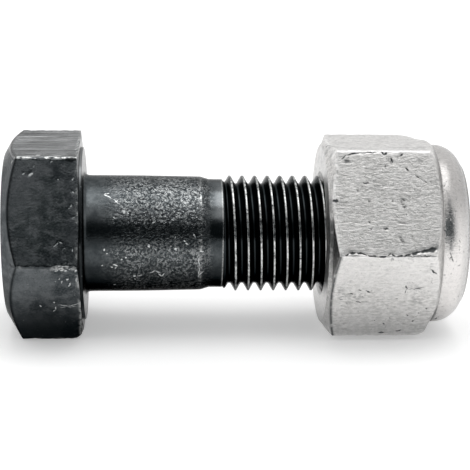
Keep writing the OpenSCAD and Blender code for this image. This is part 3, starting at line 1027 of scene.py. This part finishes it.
def bolt_material():
    g = Graph(bpy.data.materials.new("blackened_steel"))
    where = g.place()
    x, y, z = g.node("SeparateXYZ", {0: where}, None).outputs
    nicks, dark = bolt_marks(g, where)
    on_head = g.ramp(x, 0.05, -0.05)
    on_thread = g.ramp(x, THREAD_START - 0.1, THREAD_START + 0.1)
    on_shank = g.times(g.take(1.0, on_head), g.take(1.0, on_thread))
    top_flat = g.times(on_head, g.near_flat(where, HEAD_TOP))
    # distance from the painted dark band along the shank, at z 1.3
    middle = g.size(g.take(z, 1.3))
    mottle = g.noise(where, 0.9, 4, 0.65)
    grain = g.noise(where, 5.0, 3, 0.75)
    streak = g.noise(where, 1.0, 3, 0.6, stretch=(0.07, 2.8, 2.8))

    head = lightened(g, head_black(g, where, mottle, grain), x, on_head, top_flat)
    lines = g.times(top_flat, g.ramp(g.size(g.take(streak, 0.47)), 0.05, 0.0))
    head = g.mix(g.times(lines, 0.9), head, (0.02, 0.023, 0.025))
    glints = g.times(top_flat, g.ramp(g.size(g.take(streak, 0.58)), 0.03, 0.0))
    head = g.mix(g.times(glints, 0.7), head, (0.42, 0.43, 0.43))
    colour = g.mix(on_shank, head, shank_black(g, x, z, middle, mottle))
    colour = g.mix(on_thread, colour, (0.024, 0.029, 0.031))
    # painted shade: darker underneath, on the head below z -2.2 and on the shank and thread below z 1.2
    shade = g.times(on_head, g.ramp(z, -2.2, -10.2))
    shade = g.most(shade, g.times(g.take(1.0, on_head), g.ramp(z, 1.2, -5.0)))
    colour = g.mix(g.times(shade, 0.92), colour, (0.006, 0.008, 0.009))
    polish = g.mask("polish")
    # painted reflection: the turned face under the head is dark in its middle and lighter at its top and
    # bottom
    face_painted_reflection = g.most(g.ramp(z, 7.2, 9.2), g.ramp(z, -6.0, -8.5, 0.0, 0.6))
    colour = g.mix(g.times(polish, 0.9), colour, g.mix(face_painted_reflection, (0.012, 0.014, 0.015), (0.22, 0.228, 0.232)))

    # rubbed strokes, pits and nicks, the first two densest towards the thread
    dense = g.times(g.ramp(x, 0.8, 6.5), g.ramp(x, SHANK_END - 0.1, TAPER_END + 0.7, 1.0, 0.06))
    rubbed = rubbed_strokes(g, where, dense, on_shank, middle)
    pits = g.times(g.times(g.ramp(g.noise(where, 6.0, 2, 0.6), 0.51, 0.56), 0.85), g.times(dense, on_shank))
    colour = g.mix(pits, colour, (0.012, 0.015, 0.016))
    sparse = g.times(g.ramp(g.noise(where, 3.2, 1, 0.5), 0.74, 0.80), g.times(on_head, 0.35))
    nicks = g.times(nicks, g.ramp(grain, 0.32, 0.55, 0.35, 0.9))
    # the painted shade underneath also dims the rubbed strokes and flecks
    bright = g.most(g.times(g.most(rubbed, sparse), g.take(1.0, g.times(shade, 0.7))), nicks)
    colour = g.mix(bright, colour, (0.70, 0.72, 0.72))

    # bare steel on the edges, and dark lines
    wear = g.mask("wear")
    crest = g.times(on_thread, g.times(wear, g.ramp(g.noise(where, 1.7, 3, 0.75), 0.28, 0.62)))
    edge = g.times(g.take(1.0, on_thread), g.times(wear, g.ramp(grain, 0.3, 0.55)))
    colour = g.mix(g.times(g.most(crest, edge), 0.9), colour, (0.78, 0.79, 0.78))
    # dark lines and grime, and the painted shade on the taper
    dark = g.most(g.times(dark, 0.85), g.times(g.mask("grime"), 0.8))
    colour = g.mix(g.least(dark, 0.9), colour, (0.010, 0.012, 0.013))

    neck = g.ramp(x, TAPER_END - 0.5, TAPER_END + 0.9)
    rough = g.add(g.times(grain, 0.2), 0.10)
    rough = g.node("Mix", {0: g.most(polish, neck), 2: rough, 3: 0.15}, data_type="FLOAT")
    height = g.add(g.times(grain, 0.5), g.times(mottle, 0.5))
    rugged = g.times(g.noise(where, 3.0, 2, 0.6), g.times(dense, on_shank))
    height = g.add(height, g.times(rugged, 2.0))
    height = g.add(height, g.times(g.times(top_flat, streak), 2.5))
    height = g.times(height, g.take(1.0, g.most(polish, g.times(neck, 0.6))))
    # turning marks on the face under the head
    radius = g.node("VectorMath", {0: g.node("CombineXYZ", {1: y, 2: z})}, 1, operation="LENGTH")
    turned = g.node("TexNoise", {"W": radius, "Scale": 5.0, "Detail": 2.0}, noise_dimensions="1D")
    height = g.add(height, g.times(g.times(polish, turned), 0.7))
    # the edge tint: higher on the top flat, which brightens its grazing reflection, and lowered by the
    # painted shade underneath and along the dark lines
    rim = g.take(g.ramp(top_flat, 0.0, 1.0, 0.5, 0.95), g.add(g.times(shade, 0.25), g.times(lines, 0.45)))
    return g.finish(colour, 1.0, rough, height, 0.06, 0.8, rim)


def nut_marks(g, where):
    """How near the nicks and the blurred spots are."""
    nicks = g.marks(where, placed(NUT_NICKS + FOLD, on_flat, NUT_FRONT)
                    + placed(LOW_DASHES, on_flat, NUT_LOW)
                    + placed(COLLAR_NICKS, on_round, COLLAR_R)
                    + placed(CHAMFER_NICK, on_flat, NUT_FRONT)
                    + placed(NUT_TOP_LINES, on_flat, NUT_TOP))
    return nicks, g.marks(where, placed(SPOTS, on_flat, NUT_FRONT))


def zinc(g, brush, speckle, mottle):
    """The colour of brushed and speckled zinc."""
    colour = g.mix(g.ramp(brush, 0.30, 0.68), (0.44, 0.435, 0.425), (0.62, 0.61, 0.595))
    colour = g.mix(g.times(g.ramp(speckle, 0.40, 0.62), 0.8), colour, (0.84, 0.825, 0.81))
    return g.mix(g.times(g.ramp(mottle, 0.42, 0.68), 0.35), colour, (0.72, 0.71, 0.70))


def collar_zinc(g, colour, where, z, collar, speckle):
    """The zinc, on the collar with a painted shade that darkens its top and one streak of painted dark
    reflection.
    """
    # painted shade: the collar is darker towards its top
    collar_painted_shading = g.mix(g.ramp(z, 7.0, 3.0), (0.44, 0.426, 0.417), (0.76, 0.735, 0.72))
    colour = g.mix(g.times(collar, 0.8), colour, collar_painted_shading)
    # painted reflection: one dark streak down the collar
    streak = g.ramp(g.marks(where, placed(COLLAR_DARK_REFLECTION, on_round, COLLAR_R)), 1.9, 0.3, 0.0, 0.75)
    return g.mix(g.times(streak, g.ramp(speckle, 0.3, 0.6, 1.0, 0.6)), colour, (0.13, 0.135, 0.14))


def tarnish_and_shade(g, where, x, z, speckle, mottle, grain):
    """How far a dull grey covers the zinc: tarnish, a painted shade towards the bottom, and a darker rolled
    end.
    """
    scale = g.times(g.ramp(grain, 0.55, 0.70), 0.3)
    scale = g.most(scale, g.times(g.times(g.ramp(mottle, 0.45, 0.30), g.ramp(speckle, 0.6, 0.4)), 0.45))
    facing = g.node("SeparateXYZ", {0: g.node("TexCoord", out=1)})
    smudge = g.ramp(g.noise(where, 0.9, 4, 0.65), 0.47, 0.64, 0.0, 0.5)
    scale = g.most(scale, g.times(g.ramp(facing, -0.5, -0.8), smudge))
    # painted shade: darker towards the bottom
    scale = g.most(scale, g.ramp(z, -5.0, -11.0, 0.0, 0.5))
    return g.most(scale, g.ramp(x, NUT_END - 1.6, NUT_END - 0.4, 0.0, 0.4))


def nut_material():
    g = Graph(bpy.data.materials.new("brushed_zinc"))
    where = g.place()
    x, _, z = g.node("SeparateXYZ", {0: where}, None).outputs
    nicks, spots = nut_marks(g, where)
    brush = g.noise(where, 1.0, 4, 0.7, stretch=(0.5, 4.5, 4.5))
    speckle = g.noise(where, 3.0, 4, 0.75, stretch=(0.55, 1.2, 1.2))
    mottle = g.noise(where, 0.45, 4, 0.6)
    grain = g.noise(where, 5.0, 3, 0.7)
    collar = g.ramp(x, NUT_X + HEX_H, NUT_X + HEX_H + 0.6)

    colour = collar_zinc(g, zinc(g, brush, speckle, mottle), where, z, collar, speckle)
    # painted highlight: the upper part of the lower flat is lighter
    low_flat_highlight = g.times(g.near_flat(where, NUT_LOW), g.ramp(z, -6.5, -1.5))
    colour = g.mix(g.times(low_flat_highlight, 0.5), colour, (0.86, 0.845, 0.83))
    colour = g.mix(tarnish_and_shade(g, where, x, z, speckle, mottle, grain), colour, (0.22, 0.225, 0.23))
    pits = g.times(g.ramp(g.noise(where, 2.2, 3, 0.65, warp=0.6), 0.63, 0.71), 0.75)
    colour = g.mix(pits, colour, (0.20, 0.205, 0.205))
    rub = g.times(g.mask("wear"), g.ramp(g.noise(where, 2.0, 3, 0.7), 0.25, 0.55))
    colour = g.mix(g.times(rub, 0.9), colour, (0.93, 0.92, 0.91))

    spots = g.times(g.ramp(spots, 1.3, 0.3), g.ramp(grain, 0.38, 0.56, 0.15, 0.85))
    nicks = g.times(g.ramp(nicks, 1.15, 0.7), 0.95)
    dark = g.least(g.most(nicks, g.most(spots, g.times(g.mask("grime"), 0.7))), 0.95)
    colour = g.mix(dark, colour, (0.035, 0.04, 0.042))

    rough = g.add(g.times(brush, 0.2), g.ramp(collar, 0.0, 1.0, 0.22, 0.15))
    height = g.add(g.times(brush, 0.45), g.times(speckle, 1.5))
    height = g.add(height, g.times(grain, 0.3))
    height = g.times(height, g.ramp(collar, 0.0, 1.0, 1.0, 0.4))
    height = g.take(height, g.times(pits, 1.2))
    rim = g.take(g.ramp(speckle, 0.36, 0.52, 0.72, 1.0), g.times(pits, 0.5))
    return g.finish(colour, 1.0, rough, height, 0.06, 0.8, rim)


def nylon_material():
    g = Graph(bpy.data.materials.new("natural_nylon"))
    where = g.place()
    cloud = g.noise(where, 0.6, 3, 0.5)
    grain = g.noise(where, 5.0, 3, 0.6)
    colour = g.mix(cloud, (0.70, 0.68, 0.60), (0.80, 0.78, 0.72))
    rough = g.add(g.times(grain, 0.2), 0.35)
    return g.finish(colour, 0.0, rough, grain, 0.03, 0.3)


def floor_material():
    g = Graph(bpy.data.materials.new("pale_floor"))
    rays = g.node("LightPath", None, None).outputs
    seen = g.most(rays["Is Camera Ray"], g.most(rays["Is Glossy Ray"], rays["Is Transmission Ray"]))
    lit = g.node("BsdfDiffuse", {"Color": (0.9, 0.9, 0.9)})
    glow = g.node("Emission", {"Color": (1, 1, 1), "Strength": g.times(seen, 0.3)})
    g.node("OutputMaterial", {"Surface": g.node("AddShader", {0: lit, 1: glow})}, None)
    return g.owner


# The studio: a pale floor, one large soft lamp overhead and a pale tent, dark on the camera's side

def make_floor():
    mesh = bpy.data.meshes.new("floor")
    low, reach = cad_box[0][2], 3.0
    corners = [(-reach, -reach, low), (reach, -reach, low), (reach, reach, low), (-reach, reach, low)]
    mesh.from_pydata(corners, [], [(0, 1, 2, 3)])
    mesh.materials.append(floor_material())
    floor = bpy.data.objects.new("floor", mesh)
    bpy.context.scene.collection.objects.link(floor)


def make_lamp(name, x_range, y_range, height, radiance):
    """A flat lamp that faces down and spans the given ranges, in metres."""
    data = bpy.data.lights.new(name, "AREA")
    data.shape = "RECTANGLE"
    data.size = x_range[1] - x_range[0]
    data.size_y = y_range[1] - y_range[0]
    data.energy = radiance * math.pi * data.size * data.size_y
    lamp = bpy.data.objects.new(name, data)
    lamp.location = (sum(x_range) / 2, sum(y_range) / 2, height)
    bpy.context.scene.collection.objects.link(lamp)


def make_world():
    world = bpy.data.worlds.new("studio")
    bpy.context.scene.world = world
    g = Graph(world)
    x, y, z = g.node("SeparateXYZ", {0: g.node("TexCoord", out=0)}, None).outputs
    aside = g.node("Math", {0: g.size(x), 1: g.times(y, -1.0)}, operation="ARCTAN2")
    height = g.node("Math", {0: z}, operation="ARCSINE")
    beside = g.ramp(aside, math.radians(36), math.radians(56))
    above = g.ramp(height, math.radians(36), math.radians(50))
    behind = g.ramp(y, 0.2, 0.7)
    pale = g.mix(behind, (0.92, 0.92, 0.92), (1.02, 1.02, 1.02))
    colour = g.mix(g.most(beside, above), (0.07, 0.085, 0.09), pale)
    g.node("OutputWorld", {"Surface": g.node("Background", {"Color": colour, "Strength": 1.0})}, None)


make_camera()
for surface, name, material, body, node, slot in (
    (bolt_surface(), "bolt_body", bolt_material(), "bolt", "bolt", "bolt_steel"),
    (nut_surface(), "lock_nut_body", nut_material(), "nut", "lock_nut", "nut_steel"),
    (ring_surface(), "nylon_ring", nylon_material(), "insert", "nylon_insert", "nylon"),
):
    piece = surface.build(name, material)
    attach(piece, body)
    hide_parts(node)
make_floor()
make_world()
make_lamp("overhead_softbox", (-0.10, 0.25), (-0.15, 0.20), 0.5, 1.5)
bpy.context.scene.view_settings.view_transform = "Standard"
